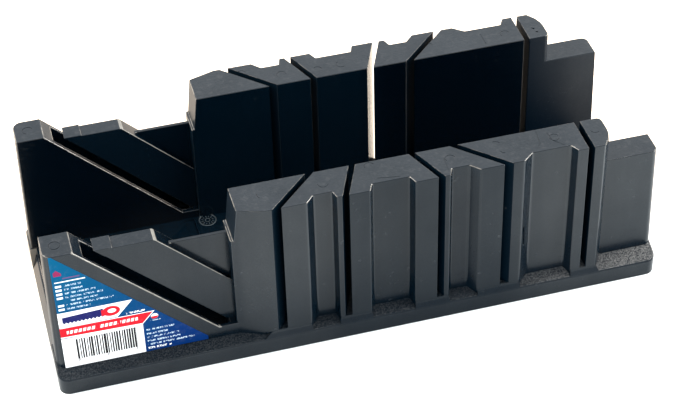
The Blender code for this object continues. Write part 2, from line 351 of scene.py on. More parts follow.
def tall_segments():
    segments = [left_segment(), *(panel_segment(i) for i in range(4)), right_segment()]
    return [soften(segment, wall_radius) for segment in segments]


# ------------------------------------------------------------------ lower parts of a wall
def post_radius(mid, along, convex):
    if mid.z < 9:
        return 0.0
    if abs(along.z) > 0.95 and mid.x < 6:
        return 0.6
    return 0.45 if convex else 0.5


def post():
    """Left post, sloping down to the right, with a drafted rounded end and a long throat."""
    side = [(-1, 3), (-1, POST_Z), (POST_SUM - POST_Z, POST_Z),
            (POST_SUM - POST_LOW_Z, POST_LOW_Z), (POST_X1, POST_LOW_Z), (POST_X1, 3)]
    body = across("post", side, POST_Y0, POST_Y1)
    plan = (arc(POST_R, POST_Y0 + POST_R, POST_R, 180, 270, 10)
            + [(110, POST_Y0), (110, 30), (0, 30)])
    keep(body, prism("round", [(x + POST_X0, y, 0.0) for x, y in plan],
                     (POST_DRAFT * DRAFT_HEIGHT, 0, DRAFT_HEIGHT)))
    cut(body, box("t", THROAT_X0, THROAT_X1, THROAT_Y0, THROAT_Y1, BELOW, 120))
    return soften(body, post_radius)


def block():
    """Sloping bar that fills the throat between the post and the tall wall."""
    side = [(BLOCK_SUM_LOW - BLOCK_Z, BLOCK_Z), (BLOCK_SUM_HIGH - BLOCK_Z, BLOCK_Z),
            (BLOCK_X1, BLOCK_SUM_HIGH - BLOCK_X1), (BLOCK_X1, BLOCK_SUM_LOW - BLOCK_X1)]
    return soften(across("block", side, BLOCK_Y0, BLOCK_Y1), lambda mid, along, convex:
                  1.2 if abs(along.y) > 0.9 and mid.z > 60 and mid.x > 40 else 0.32)


def pad():
    """Slightly raised cap on the block's upper left end."""
    side = [(PAD_SUM - PAD_Z1, PAD_Z1), (PAD_X1, PAD_Z1), (PAD_X1, PAD_Z0),
            (PAD_SUM - PAD_Z0, PAD_Z0)]
    solid = across("pad", side, BLOCK_Y0 - PAD_OVERHANG, BLOCK_Y1 + PAD_OVERHANG)
    return soften(solid, even(0.28))


def web():
    """Thin triangle between the block and the tall wall."""
    side = [(WEB_SUM - WEB_Z, WEB_Z), (WEB_X1, WEB_Z), (WEB_X1, WEB_SUM - WEB_X1)]
    return soften(across("web", side, WEB_Y0, WEB_Y1), even(0.35))


def ledge():
    """Lower right end of the wall, leaning a little to the left."""
    r = LEDGE_R
    inner = INNER_Y - 0.03
    plan = ([(LEDGE_X0, inner), (LEDGE_X0, LEDGE_Y0)]
            + arc(LENGTH - r, LEDGE_Y0 + r, r, -90, 0, 10) + [(LENGTH, inner)])
    solid = prism("ledge", [(x, y, LEDGE_Z0) for x, y in plan],
                  (-LEDGE_LEAN, 0, LEDGE_Z - LEDGE_Z0))
    return soften(solid, wall_radius)


# ------------------------------------------------------------------ base
def root_fillets():
    """The ribs run out into the flange's front in a soft double curve."""
    steps = 10
    curve = [(2.6, 7.75, 1.0), (2.6, 12.25, 0.0)]   # y, z and share of the spread
    for k in range(steps + 1):
        t = k / steps
        curve.append((1.77 - 1.76 * t * t * (3 - 2 * t), 12.25 - 4.5 * t, t))
    return [loft("fillet", [(x0 - left * t, y, z) for y, z, t in curve],
                 [(x1 + right * t, y, z) for y, z, t in curve])
            for x0, x1, left, right in ROOT_FILLETS]


def slab():
    reach = (FLOOR - FLANGE_Z0) / FLANGE_SLOPE
    section = [(0, 0), (WIDTH, 0), (WIDTH, FLANGE_Z0), (WIDTH - reach, FLOOR), (reach, FLOOR),
               (0, FLANGE_Z0)]
    body = lengthwise("base", section, -3, LENGTH + 3)
    r = CORNER_R
    outline = (arc(r, r, r, 180, 270, 12) + arc(LENGTH - r, r, r, 270, 360, 12)
               + arc(LENGTH - r, WIDTH - r, r, 0, 90, 12) + arc(r, WIDTH - r, r, 90, 180, 12))
    keep(body, upright("outline", outline, BELOW, 40))
    return soften(body, lambda mid, along, convex: 0.9 if mid.z > 5 else 0.4)


def slope_ends(body):
    side = [(-6.0, END_SLOPE[0][1]), *END_SLOPE, (-6.0, END_SLOPE[-1][1])]
    right_side = [(LENGTH - x, z) for x, z in reversed(side)]
    for outline, wall_y in ((side, POST_Y1), (right_side, INNER_Y)):
        edge = wall_y + END_MARGIN
        cut(body, across("end", outline, edge, WIDTH - edge))


def cut_slots(body):
    for i in range(len(SLOTS)):
        for y0, y1, half in SLOT_CUTS:
            for near, far in ((y0, y1), (WIDTH - y1, WIDTH - y0)):
                cut(body, upright("slot", slot_plan(i, near, far, half), SLOT_Z, HEIGHT))


def base():
    body = slab()
    slope_ends(body)
    # feet that close the saw slots just above the flange
    for i in range(len(SLOTS)):
        plan = slot_plan(i, RIB_Y - 0.02, 12.0, SLOT_HALF + 1.2)
        add_both(body, upright("foot", plan, WALL_Z0, FLOOR - 0.1))
    for fillet in root_fillets():
        add_both(body, fillet)
    cut_slots(body)
    for y0, y1 in ((THROAT_Y0, THROAT_Y1), (WIDTH - THROAT_Y1, WIDTH - THROAT_Y0)):
        cut(body, box("throat", THROAT_X0 - CLEARANCE, THROAT_X1 + CLEARANCE,
                      y0 - CLEARANCE, y1 + CLEARANCE, BELOW, 40))
    # landing groove for the tipped blade
    cut(body, box("groove", GROOVE_X0, GROOVE_X1, INNER_Y + GROOVE_INSET,
                  WIDTH - INNER_Y - GROOVE_INSET, FLOOR - GROOVE_DEPTH, FLOOR + 3))
    return body


# ------------------------------------------------------------------ hollows
def clip(plan, nx, ny, limit):
    """The part of a plan where nx * x + ny * y stays under the limit."""
    out = []
    for i, p in enumerate(plan):
        q = plan[(i + 1) % len(plan)]
        over_p = nx * p[0] + ny * p[1] - limit
        over_q = nx * q[0] + ny * q[1] - limit
        if over_p <= 0:
            out.append(p)
        if (over_p < 0 < over_q) or (over_q < 0 < over_p):
            t = over_p / (over_p - over_q)
            out.append((p[0] + t * (q[0] - p[0]), p[1] + t * (q[1] - p[1])))
    return out


def wall_core(left, right):
    """Hollow between two slots; None stands for the wall's end."""
    clear = SLOT_HALF + SKIN
    x0 = SHOULDER_X[1] + SKIN if left is None else 60.0
    x1 = TALL_X1 - SKIN if right is None else 300.0
    y0, y1 = PANEL_Y + SKIN, INNER_Y - SKIN
    plan = [(x0, y0), (x1, y0), (x1, y1), (x0, y1)]
    if left is not None:
        plan = clip(plan, -left[0], -left[1], -(left[2] + clear))
    if right is not None:
        return clip(plan, right[0], right[1], right[2] - clear)
    return clip(plan, 1.0, 1.0, TALL_X1 - SKIN + 9.0)


def hollow(body):
    """The walls are hollow and the floor is ribbed, open towards the bench."""
    cores = [(wall_core(left, right), HEIGHT - ROOF)
             for left, right in zip([None] + SLOTS, SLOTS + [None])]
    ledge_x0, ledge_y0, ledge_y1 = TALL_X1 + 1.0, LEDGE_Y0 + SKIN, INNER_Y - SKIN
    cores.append(([(ledge_x0, ledge_y0), (LENGTH - SKIN - 3.3, ledge_y0),
                   (LENGTH - SKIN - 1.3, ledge_y0 + 2), (LENGTH - SKIN - 1.3, ledge_y1),
                   (ledge_x0, ledge_y1)], LEDGE_Z - ROOF))
    post_x0, post_x1 = 4.7, THROAT_X0 - 2.6
    cores.append(([(post_x0, THROAT_Y0 + 3.0), (7.7, THROAT_Y0), (post_x1, THROAT_Y0),
                   (post_x1, THROAT_Y1), (post_x0, THROAT_Y1)], POST_Z - ROOF))
    for plan, top in cores:
        for sides in (plan, [(x, WIDTH - y) for x, y in reversed(plan)]):
            cut(body, soften(upright("core", sides, BELOW, top), even(0.5)))

    x0, x1 = POCKET_END, LENGTH - POCKET_END
    y0, y1 = INNER_Y + POCKET_SIDE, WIDTH - INNER_Y - POCKET_SIDE
    size_x = (x1 - x0 - (POCKET_COLS - 1) * POCKET_RIB) / POCKET_COLS
    size_y = (y1 - y0 - (POCKET_ROWS - 1) * POCKET_RIB) / POCKET_ROWS
    for i in range(POCKET_COLS):
        for j in range(POCKET_ROWS):
            x, y = x0 + i * (size_x + POCKET_RIB), y0 + j * (size_y + POCKET_RIB)
            pocket = box("pocket", x, x + size_x, y, y + size_y, BELOW, FLOOR - POCKET_ROOF)
            soften(pocket, lambda mid, along, convex: 1.2 if abs(along.z) > 0.9 else 0.6)
            cut(body, pocket)


# ------------------------------------------------------------------ surface details
CUT_ABOVE = 0.6         # how far shallow cutters stand over the surface
# ejector ring marks on the wall tops: x, y, arc from and to in degrees
PINS = ((157.6, 19.2, 20, 200), (195.2, 13.6, 10, 210), (133.7, 13.0, 170, 340),
        (105.0, 13.5, 150, 230), (218.6, 17.0, 20, 110), (221.5, 12.5, 200, 260),
        (246.8, 14.4, 20, 330), (267.3, 14.5, 190, 300), (116.8, WIDTH - 8.6, 10, 190),
        (135.6, WIDTH - 15.0, 0, 200), (166.0, WIDTH - 15.2, 120, 300),
        (182.5, WIDTH - 14.0, 150, 290), (212.0, WIDTH - 13.6, 20, 170),
        (252.0, WIDTH - 14.6, 20, 210), (153.6, WIDTH - 16.4, 10, 120))
# split lines on the wall tops: x, y from, x, y to
SPLIT_LINES = ((192.4, 14.2, 191.8, 5.6), (240.0, 20.8, 238.8, 11.8), (238.8, 11.8, 236.5, 8.6),
               (244.6, 18.5, 245.2, 12.5), (245.2, 12.5, 249.6, 7.4),
               (239.9, WIDTH - 11.4, 240.1, WIDTH - 20.4), (158.6, 9.6, 169.0, 7.8),
               (211.0, 9.4, 214.5, 6.9))
DIAL_X, DIAL_Y, DIAL_DEPTH = 90.8, 89.0, 0.3
NICK_LOW, NICK_HIGH = HEIGHT - 0.8, HEIGHT + 0.5
# triangles at both ends of each nick: two on the back wall's end block, one down a rib's
# edge, a small one beside a slot
NICKS = (
    (((266.3, WIDTH - 13.6, NICK_LOW), (267.6, WIDTH - 14.6, NICK_LOW),
      (267.2, WIDTH - 15.0, NICK_LOW)),
     ((266.0, WIDTH - 13.2, NICK_HIGH), (268.2, WIDTH - 14.4, NICK_HIGH),
      (267.2, WIDTH - 15.6, NICK_HIGH))),
    (((267.3, WIDTH - 17.0, NICK_LOW), (268.5, WIDTH - 17.7, NICK_LOW),
      (268.1, WIDTH - 18.1, NICK_LOW)),
     ((267.0, WIDTH - 16.7, NICK_HIGH), (269.0, WIDTH - 17.5, NICK_HIGH),
      (268.1, WIDTH - 18.6, NICK_HIGH))),
    (((230.1, 4.9, 33.0), (229.0, 0.8, 34.0), (231.2, 1.6, 34.0)),
     ((229.6, 4.9, 46.0), (228.4, 0.8, 44.8), (230.9, 1.6, 45.0))),
    (((176.4, 2.2, 69.5), (177.4, 1.2, 70.0), (177.9, 1.4, 69.0)),
     ((175.8, 2.3, 75.5), (176.8, 1.2, 76.0), (177.3, 1.4, 74.5))),
)


def marked(obj):
    """Gives every face the edge material."""
    for p in obj.data.polygons:
        p.material_index = 1
    return obj


def tube(name, x, y, z, inner, outer, depth, start=0.0, end=360.0, steps=28):
    """Shallow cutter shaped as a ring, or part of one, sinking to z - depth."""
    bm = bmesh.new()
    full = end - start == 360.0
    profile = ((inner, z + CUT_ABOVE), (outer, z + CUT_ABOVE),
               (outer - 0.04, z - depth), (inner + 0.04, z - depth))
    rows = []
    for k in range(steps if full else steps + 1):
        a = math.radians(start + (end - start) * k / steps)
        rows.append([bm.verts.new(place(x + r * math.cos(a), y + r * math.sin(a), h))
                     for r, h in profile])
    for k in range(steps):
        p, q = rows[k], rows[(k + 1) % len(rows)]
        for j in range(4):
            i = (j + 1) % 4
            bm.faces.new((p[j], p[i], q[i], q[j]))
    if not full:
        bm.faces.new(rows[0])
        bm.faces.new(list(reversed(rows[-1])))
    return marked(from_bmesh(name, bm))


def scratch(x0, y0, x1, y1, z, width, depth):
    """Cutter for a thin shallow groove in a level top."""
    dx, dy = x1 - x0, y1 - y0
    length = math.hypot(dx, dy)
    nx, ny = -dy / length * width / 2, dx / length * width / 2
    return upright("scratch", [(x0 - nx, y0 - ny), (x0, y0), (x0 + nx, y0 + ny),
                               (x1 + nx, y1 + ny), (x1 - nx, y1 - ny)], z - depth, z + CUT_ABOVE)


def date_dial(body):
    """Two rings and twelve ticks in the floor."""
    for inner, outer, steps in ((3.9, 4.6, 40), (1.0, 1.5, 24)):
        cut(body, tube("dial", DIAL_X, DIAL_Y, FLOOR, inner, outer, DIAL_DEPTH, steps=steps))
    for k in range(12):
        a = math.radians(30 * k + 8)
        c, s = math.cos(a), math.sin(a)
        cut(body, marked(scratch(DIAL_X + 2.2 * c, DIAL_Y + 2.2 * s, DIAL_X + 3.3 * c,
                                 DIAL_Y + 3.3 * s, FLOOR, width=0.5, depth=DIAL_DEPTH)))


def details(body):
    cut(body, tube("pin", 8.6, 14.0, POST_Z, 2.35, 2.75, depth=0.16))
    cut(body, tube("pin", 8.9, WIDTH - 14.2, POST_Z, 2.35, 2.75, depth=0.14, start=20, end=250))
    for x, y, start, end in PINS:
        cut(body, tube("pin", x, y, HEIGHT, 2.2, 2.55, 0.13, start, end, steps=20))
    for ends in SPLIT_LINES:
        cut(body, scratch(*ends, HEIGHT, width=0.34, depth=0.12))
    date_dial(body)
    for low, high in NICKS:
        cut(body, loft("nick", low, high))


def shade_smooth(obj):
    """Smooth faces with weighted normals, sharp where they meet over 38 degrees."""
    with editing(obj.data) as bm:
        for f in bm.faces:
            f.smooth = True
        for e in bm.edges:
            sharp = len(e.link_faces) == 2 and e.calc_face_angle(0.0) > math.radians(38)
            e.smooth = not sharp
    normals = obj.modifiers.new("normals", "WEIGHTED_NORMAL")
    normals.mode = "FACE_AREA"
    normals.weight = 80
    normals.keep_sharp = True


def build_moulding():
    body = base()
    parts = tall_segments() + [post(), block(), pad(), web(), ledge()]
    parts += [mirrored(part) for part in parts]
    for part in parts:
        add(body, part)
    body.name = "mitre_box_moulding"
    tidy(body)
    hollow(body)
    details(body)
    tidy(body)
    return body


moulding = build_moulding()
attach(moulding, "root")
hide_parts("moulded_box")
shade_smooth(moulding)


# ------------------------------------------------------------------ node graphs
class Value:
    """A node's output. Arithmetic on it adds Math nodes; as a mask it runs from 0 to 1."""

    def __init__(self, graph, socket):
        self.graph, self.socket = graph, socket

    def __add__(self, other):
        return self.graph.math("ADD", self, other)

    def __sub__(self, other):
        return self.graph.math("SUBTRACT", self, other)

    def __mul__(self, other):
        return self.graph.math("MULTIPLY", self, other)

    def __truediv__(self, other):
        return self.graph.math("DIVIDE", self, other)

    def __gt__(self, other):
        return self.graph.math("GREATER_THAN", self, other)

    def __abs__(self):
        return self.graph.math("ABSOLUTE", self)

    def __invert__(self):
        """The opposite mask."""
        return self.graph.math("SUBTRACT", 1.0, self, clamp=True)

    def max(self, other):
        return self.graph.math("MAXIMUM", self, other)

    def floor(self):
        return self.graph.math("FLOOR", self)

    def fraction(self):
        return self.graph.math("FRACT", self)

    def scaled(self, times, plus):
        return self.graph.math("MULTIPLY_ADD", self, times, plus)

    def ramp(self, off, on, low=0.0, high=1.0, smooth=True):
        """Runs from low, where this value is at off, to high, where it is at on."""
        return self.graph.node("ShaderNodeMapRange", dict(enumerate((self, off, on, low, high))),
                               interpolation_type="SMOOTHSTEP" if smooth else "LINEAR")

    def within(self, mask, value):
        """Turns into another value inside the mask."""
        return self.graph.blend(mask, self, value)

    def times(self, mask, factor):
        """Is multiplied by a factor inside the mask."""
        return self * self.graph.blend(mask, 1.0, factor)

    def paint(self, mask, tone):
        return self.graph.mix(mask, self, tone)


class Graph:
    """Writes a material's nodes over the box's own millimetres."""

    def __init__(self, material):
        material.use_nodes = True
        self.tree = material.node_tree
        coordinates = self.tree.nodes.new("ShaderNodeTexCoord").outputs
        self.position = Value(self, coordinates["Object"])
        self.normal = Value(self, coordinates["Normal"])
        self.metres = self.split(self.position)

    @cached_property
    def x(self):
        return self.metres[0].scaled(times=1000.0, plus=CENTRE_X)

    @cached_property
    def y(self):
        return self.metres[1].scaled(times=1000.0, plus=CENTRE_Y)

    @cached_property
    def z(self):
        return self.metres[2] * 1000.0

    def plug(self, socket, value):
        if isinstance(value, Value):
            self.tree.links.new(value.socket, socket)
        elif socket.type == "RGBA":
            socket.default_value = (*value, 1.0)
        else:
            socket.default_value = value

    def node(self, kind, inputs, output=0, **settings):
        node = self.tree.nodes.new(kind)
        for key, value in settings.items():
            setattr(node, key, value)
        for key, value in inputs.items():
            self.plug(node.inputs[key], value)
        return Value(self, node.outputs[output])

    def split(self, vector):
        node = self.tree.nodes.new("ShaderNodeSeparateXYZ")
        self.plug(node.inputs[0], vector)
        return [Value(self, socket) for socket in node.outputs]

    def math(self, operation, *values, clamp=False):
        return self.node("ShaderNodeMath", dict(enumerate(values)), operation=operation,
                         use_clamp=clamp)

    def noise(self, scale, detail=2.0, rough=0.5, stretch=(1, 1, 1), shift=(0, 0, 0),
              distortion=0.0):
        mapped = self.node("ShaderNodeMapping",
                           {0: self.position, "Scale": stretch, "Location": shift})
        return self.node("ShaderNodeTexNoise", {
            "Vector": mapped, "Scale": scale, "Detail": detail, "Roughness": rough,
            "Distortion": distortion})

    def mix(self, mask, off, on):
        """Blend of two colours."""
        return self.node("ShaderNodeMix", {0: mask, 6: off, 7: on}, output=2, data_type="RGBA")

    def blend(self, mask, off, on):
        """Blend of two numbers."""
        return self.node("ShaderNodeMix", {0: mask, 2: off, 3: on}, data_type="FLOAT")

    def bump(self, height, distance, strength, under=None):
        inputs = {"Strength": strength, "Distance": distance, "Height": height}
        if under is not None:
            inputs["Normal"] = under
        return self.node("ShaderNodeBump", inputs)

    def surface(self, inputs):
        shader = self.tree.nodes["Principled BSDF"]
        for key, value in inputs.items():
            self.plug(shader.inputs[key], value)


# ------------------------------------------------------------------ plastic
class Plastic(Graph):
    """Charcoal injection-moulded plastic: satin walls, dull tops, a coarse-grained flange,
    a glossier channel floor, with flow clouds, dust and edge wear, and painted shade, painted
    highlights and painted reflections in places."""

    def __init__(self, material):
        super().__init__(material)
        self.facing_x, self.facing_y, self.facing_z = self.split(self.normal)
        x, z = self.x, self.z
        # places, as masks
        self.from_middle = abs(self.y - CENTRE_Y)
        self.up = self.facing_z.ramp(off=0.75, on=0.92)
        outside = self.from_middle.ramp(off=35.5, on=36.5)
        self.flange = (self.facing_z.ramp(off=0.7, on=0.86) * outside
                       * z.ramp(off=13.9, on=13.5) * z.ramp(off=8.2, on=8.8))
        self.floor = self.up * ~outside * z.ramp(off=14.0, on=13.6)
        self.tops = self.up * z.ramp(off=20.0, on=24.0)
        self.inner = self.from_middle.ramp(off=36.6, on=35.6) * ~self.up
        self.outer = ~self.inner * ~self.up
        self.far_end = self.inner * x.ramp(off=261.5, on=262.5)
        self.slots = self.slot_walls()
        self.slope = (self.facing_x.ramp(off=-0.6, on=-0.85)
                      * self.from_middle.ramp(off=35.3, on=35.0) * x.ramp(off=9.0, on=8.0))
        self.left_end = (self.facing_x.ramp(off=-0.6, on=-0.85) * ~self.slope
                         * z.ramp(off=9.0, on=14.0) * x.ramp(off=92.5, on=91.5))
        # textures
        self.clouds = self.noise(scale=28.0, detail=3.0, rough=0.55)
        self.flow = self.noise(scale=60.0, detail=3.0, rough=0.6, stretch=(1.6, 1.6, 0.22),
                               shift=(3.1, 0.7, 0.2))
        self.fine = self.noise(scale=900.0, detail=2.0, rough=0.65)
        self.specks = self.noise(scale=420.0, detail=1.0, rough=0.4, shift=(0.3, 1.9, 0.4))

    def slot_walls(self):
        """The saw slots' own walls."""
        slots = None
        for i, (nx, ny, offset) in enumerate(SLOTS):
            distance = abs(self.x * nx + self.y.scaled(times=ny, plus=-offset))
            near = distance.ramp(off=SLOT_HALF + 0.25, on=SLOT_HALF + 0.12)
            if i == 1:      # this slot counts in the front wall only
                near = near * self.y.ramp(off=CENTRE_Y + 1.0, on=CENTRE_Y - 1.0)
            slots = near if slots is None else slots.max(near)
        return (slots * ~self.up * self.from_middle.ramp(off=34.9, on=35.3)
                * self.z.ramp(off=12.3, on=12.7))

    def roughness(self):
        clouds = self.clouds
        rough = clouds.scaled(times=0.10, plus=0.19)
        rough = rough + (self.fine - 0.5) * 0.10
        rough = rough.within(self.tops, clouds.scaled(times=0.10, plus=0.30))
        rough = rough.within(self.flange, 0.50)
        rough = rough.within(self.floor, self.flow.scaled(times=0.10, plus=0.12))
        rough = rough.within(self.inner, clouds.scaled(times=0.08, plus=0.10))
        rough = rough.within(self.far_end, 0.42)
        rough = rough.within(self.slots, 0.55)
        return rough.within(self.left_end, 0.40)

    def reflection(self):
        """Reflection strength, place by place."""
        x, z = self.x, self.z
        level = self.clouds.scaled(times=0.22, plus=0.36)
        level = level + (self.flow - 0.5) * 0.16
        # the outside is duller along its middle and towards the foot
        dip = x.ramp(off=122.0, on=150.0) + x.ramp(off=212.0, on=245.0, low=0.0, high=-1.0)
        level = level * (dip * self.outer).scaled(times=-0.36, plus=1.0)
        rise = z.ramp(off=4.0, on=50.0, low=0.66, high=0.94, smooth=False)
        level = level.times(self.outer, rise)
        level = level * (self.fine - 0.5).scaled(times=0.36, plus=1.0)
        level = level.times(self.inner, 0.70)
        level = level.times(self.outer, 0.655)
        post_side = ~self.inner * x.ramp(off=93.0, on=89.0) * z.ramp(off=14.0, on=20.0)
        level = level.times(post_side, 0.84)
        fade = (x.ramp(off=262.0, on=299.0, low=0.55, high=1.0)
                * z.ramp(off=20.0, on=72.0, low=0.6, high=1.15) * 0.60)
        level = level.times(self.far_end, fade)
        grit = self.noise(scale=1350.0, detail=2.0, rough=0.7, shift=(0.7, 0.3, 1.1))
        grit = (grit.ramp(off=0.42, on=0.66, low=0.30, high=2.0)
                * x.ramp(off=195.0, on=275.0, low=0.38, high=0.95))
        level = level.times(self.flange, grit)
        level = level.times(self.slots, 0.07)
        level = level.times(self.slope, z.ramp(off=1.0, on=12.0, low=0.17, high=0.11))
        return level.times(self.left_end, 0.35)

    def colour(self):
        """Very dark blue-grey, with pale dust specks, painted shade and a painted cool tone on the
        inner faces, a painted pale reflection beside the sloped left end, and flange speckle
        brightened to the right as painted light.
        """
        x, z, clouds = self.x, self.z, self.clouds
        colour = self.mix(clouds, off=(0.0002, 0.0030, 0.0062), on=(0.0010, 0.0050, 0.0098))
        # painted shade: the inner faces are darkened left of x 80 to 90 and right of x 168 to 190
        shade = x.ramp(off=168.0, on=190.0) + x.ramp(off=80.0, on=90.0, low=1.0, high=0.0)
        colour = colour.paint(self.inner * shade * 0.62, tone=(0.0, 0.0003, 0.0012))
        # painted cool light: the far end's inner faces get a bluish tone that stands in for the
        # cooler reflection there
        colour = colour.paint(self.far_end, tone=(0.0, 0.0035, 0.0085))
        # painted reflection: the walls beside the sloped left end are painted pale, like the
        # bright slope beside them
        slope_painted_reflection = (self.inner * abs(self.facing_y).ramp(off=0.5, on=0.8)
                  * x.ramp(off=4.6, on=4.0) * z.ramp(off=13.5, on=12.9))
        colour = colour.paint(slope_painted_reflection, tone=(0.15, 0.137, 0.120))
        dust = self.specks.ramp(off=0.70, on=0.80) * clouds.ramp(off=0.42, on=0.62)
        dust = dust * self.blend(self.inner, off=0.28, on=0.08)
        colour = colour.paint(dust, tone=(0.05, 0.055, 0.06))
        # pale flange speckle: partly the plastic's texture, partly painted light, made stronger
        # towards the right end where more light falls
        grain_and_painted_light = self.flange * x.ramp(off=190.0, on=285.0, low=0.08, high=0.50)
        grain_and_painted_light = grain_and_painted_light * self.noise(scale=1500.0, detail=1.0).ramp(off=0.38, on=0.60)
        colour = colour.paint(grain_and_painted_light, tone=(0.110, 0.108, 0.106))
        chalk = self.noise(scale=330.0, detail=3.0, rough=0.7, shift=(2.2, 0.4, 0.1))
        chalk = self.tops * chalk.ramp(off=0.50, on=0.72)
        return colour.paint(chalk * 0.30, tone=(0.040, 0.042, 0.046))

    def relief(self):
        """Bumps laid over each other, distances in metres."""
        normal = self.bump(self.noise(scale=38.0), distance=0.0006, strength=0.10)
        normal = self.bump(self.fine, distance=0.00006, strength=0.35, under=normal)
        coarse = self.noise(scale=1900.0, detail=2.0, rough=0.6) * self.flange
        normal = self.bump(coarse, distance=0.00032, strength=0.9, under=normal)
        satin = self.noise(scale=800.0, detail=3.0, rough=0.7) * self.tops
        normal = self.bump(satin, distance=0.00020, strength=0.6, under=normal)
        scuffs = self.noise(scale=240.0, detail=3.0, rough=0.6, stretch=(1.0, 5.0, 5.0),
                            shift=(0.4, 0.2, 0.9), distortion=0.6)
        scuffs = scuffs.ramp(off=0.63, on=0.70) * self.clouds.ramp(off=0.45, on=0.65)
        return self.bump(scuffs * -1.0, distance=0.00008, strength=0.5, under=normal)

    def edge_colour(self, colour):
        """Rounded edges painted pale here and there, part wear and part painted highlight; painted
        highlights on the 45 degree edges and in the dial's cuts.
        """
        x, y, z = self.x, self.y, self.z
        # partly wear, partly painted highlight on rounded edges that face up and to the side
        wear_and_painted_highlight = self.noise(scale=170.0, detail=3.0, rough=0.6, shift=(1.3, 0.1, 0.5))
        wear_and_painted_highlight = (wear_and_painted_highlight.ramp(off=0.34, on=0.62) * z.ramp(off=10.0, on=30.0)
                * self.facing_z.ramp(off=0.10, on=0.35)
                * abs(self.facing_x).ramp(off=0.15, on=0.40))
        colour = colour.paint(wear_and_painted_highlight * 0.75, tone=(0.20, 0.185, 0.165))
        # painted highlight along the 45 degree edges of the post's front and of the block
        run = x + z
        sill_painted_highlight = abs(run - POST_SUM).ramp(off=0.9, on=0.7) * y.ramp(off=8.0, on=7.6)
        sill_painted_highlight = sill_painted_highlight.max(abs(run - BLOCK_SUM_HIGH).ramp(off=0.9, on=0.7))
        sill_painted_highlight = (sill_painted_highlight * x.ramp(off=13.0, on=15.0) * x.ramp(off=84.0, on=82.0)
                * self.noise(scale=260.0).ramp(off=0.25, on=0.55, low=0.45, high=1.0))
        colour = colour.paint(sill_painted_highlight, tone=(0.20, 0.19, 0.17))
        # painted highlight: the dial's cut walls in the floor are painted pale
        dial = (z.ramp(off=14.0, on=13.6) * x.ramp(off=84.9, on=85.4) * x.ramp(off=97.0, on=96.0)
                * y.ramp(off=80.0, on=82.0) * y.ramp(off=96.0, on=95.0))
        return colour.paint(dial * 0.8, tone=(0.10, 0.12, 0.13))


def plastic(material, edge):
    g = Plastic(material)
    rough, level, colour = g.roughness(), g.reflection(), g.colour()
    if edge:
        # handled edges are slightly polished, and get pale wear and painted highlights
        rough = rough * 0.75
        level = level * 1.25
        colour = g.edge_colour(colour)
    g.surface({"Base Color": colour, "Roughness": rough, "Specular IOR Level": level,
               "IOR": 1.52, "Normal": g.relief()})
    material.diffuse_color = (0.06, 0.066, 0.07, 1)


plastic(BODY_MAT, edge=False)
plastic(EDGE_MAT, edge=True)

# ------------------------------------------------------------------ label
# outline on the post's front: x, z
LABEL_OUTLINE = ((4.55, 11.6), (73.2, 11.6), (73.2, 13.7), (5.95, 80.95), (4.55, 80.95))
BEND_CUTS = (4.8, 5.1, 5.4, 5.8, 6.2, 6.6, 7.0)     # x of the cuts round the corner
FILM_FRONT, FILM_BACK = 0.12, -0.03                 # from the post's face, forwards

WHITE, NAVY = (0.82, 0.83, 0.84), (0.010, 0.012, 0.085)
RED, BLACK = (0.50, 0.010, 0.020), (0.012, 0.011, 0.012)
PALE = (0.55, 0.68, 0.78)
SOFT = 0.06             # half width of a printed edge's blur
# upper lines: middle z, x from and to, whether a pale tag stands before it
UPPER_LINES = ((63.1, 9.5, 17.4, True), (60.7, 9.5, 18.6, True), (58.3, 9.5, 23.6, True),
               (55.9, 9.5, 26.8, True), (53.55, 11.8, 24.2, False), (51.15, 9.5, 31.4, True),
               (48.75, 9.5, 20.4, True))
# lower lines: middle z, x to
LOWER_LINES = ((25.5, 57.6), (22.9, 54.3), (20.6, 59.5), (18.2, 60.2), (15.9, 66.6))
LOWER_X0, LINE_HALF = 44.3, 0.5
BADGE = (48.9, 33.5, 1.75, 1.6)     # x, z and the two radii


def film_y(x, z):
    """The post's outer face, with its rounded corner, seen from the front."""
    centre = POST_X0 + POST_DRAFT * z + POST_R
    if x >= centre:
        return POST_Y0
    return POST_Y0 + POST_R - math.sqrt(max(0.0, POST_R ** 2 - (centre - x) ** 2))


def label_film():
    """Thin film that turns round the post's corner."""
    bm = bmesh.new()
    bm.faces.new([bm.verts.new(Vector((x, 0.0, z))) for x, z in LABEL_OUTLINE])
    cuts = [((x, 0, 0), (1, 0, 0)) for x in BEND_CUTS]
    cuts += [((0, 0, 11.6 + 5.0 * k), (0, 0, 1)) for k in range(1, 14)]
    cuts += [((7.0 + 5.2 * k, 0, 0), (1, 0, 0)) for k in range(1, 13)]
    for point, normal in cuts:
        everything = list(bm.verts) + list(bm.edges) + list(bm.faces)
        bmesh.ops.bisect_plane(bm, geom=everything, plane_co=point, plane_no=normal)
    grown = bmesh.ops.extrude_face_region(bm, geom=list(bm.faces))
    front = {v for v in grown["geom"] if isinstance(v, bmesh.types.BMVert)}
    for v in bm.verts:
        x, z = v.co.x, v.co.z
        v.co = place(x, film_y(x, z) - (FILM_FRONT if v in front else FILM_BACK), z)
    return from_bmesh("printed_label", bm)


